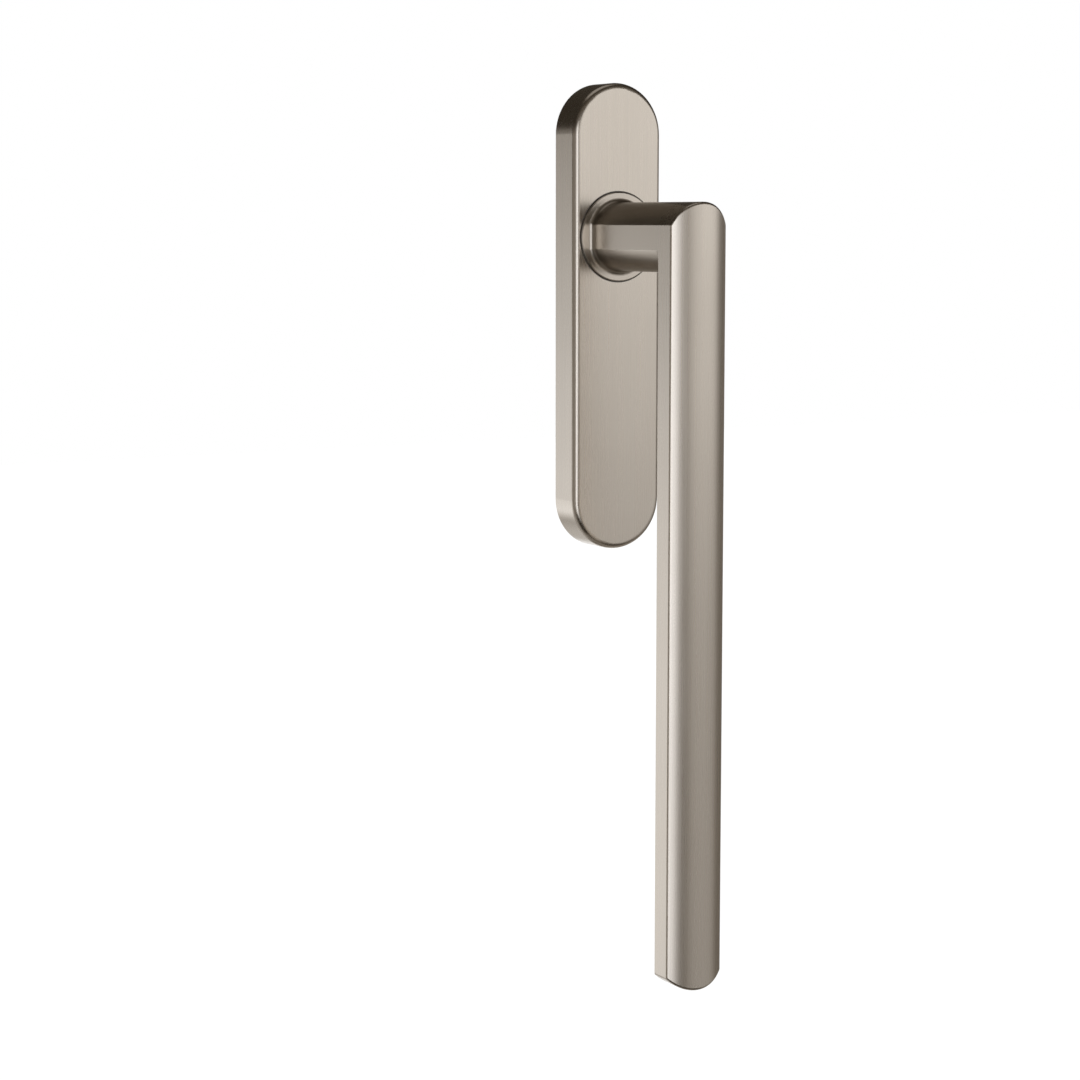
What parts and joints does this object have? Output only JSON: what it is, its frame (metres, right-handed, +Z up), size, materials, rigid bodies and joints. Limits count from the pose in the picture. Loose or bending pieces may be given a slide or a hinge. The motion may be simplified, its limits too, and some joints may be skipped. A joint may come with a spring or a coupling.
{
  "type": "lift and slide door handle",
  "caption": "Long lever handle with a D-shaped grip, turning on a slim round-ended plate with hidden screws and a square spindle.",
  "frame": {"origin": "on the spindle axis, in the plane of the door's surface", "axes": "+Z up towards the plate's short end, -Y out of the door towards the hand, +Y into the door, +X to the user's right"},
  "size_m": [0.037, 0.0847, 0.3234],
  "materials": {
    "satin_nickel_lever": "satin nickel, brushed along the grip",
    "satin_nickel_plate": "satin nickel, brushed along the plate",
    "dark_plastic": "moulded, matt",
    "cast_zinc": "as cast",
    "white_plastic": "moulded, matt",
    "bright_steel": "ground",
    "spring_steel": "blued, rolled",
    "zinc_plated_steel": "zinc plated",
    "seal_rubber": "matt",
    "pad_foam": "closed-cell foam"
  },
  "bodies": {
    "base": {"cover_plate": "satin_nickel_plate", "guide_ring": "dark_plastic", "base_plate": "cast_zinc", "bearing_bush": "white_plastic", "thrust_plate": "bright_steel", "stop_pin": "bright_steel", "fixing_screws": "zinc_plated_steel", "screw_keeper_upper": "white_plastic", "screw_keeper_lower": "white_plastic", "cover_clip_upper": "spring_steel", "cover_clip_lower": "spring_steel", "clip_rivets": "bright_steel", "back_seal": "seal_rubber", "cover_pad_upper": "pad_foam", "cover_pad_lower": "pad_foam"},
    "lever": {"lever": "satin_nickel_lever", "retaining_fork": "spring_steel", "spindle": "zinc_plated_steel", "spindle_pin": "bright_steel", "spindle_spring": "spring_steel"}
  },
  "joints": [
    {"name": "lever_turn", "type": "hinge", "parent": "base", "child": "lever", "pos_m": [0, 0, 0], "axis": [0, -1, 0], "range_deg": [0, 180]}
  ]
}
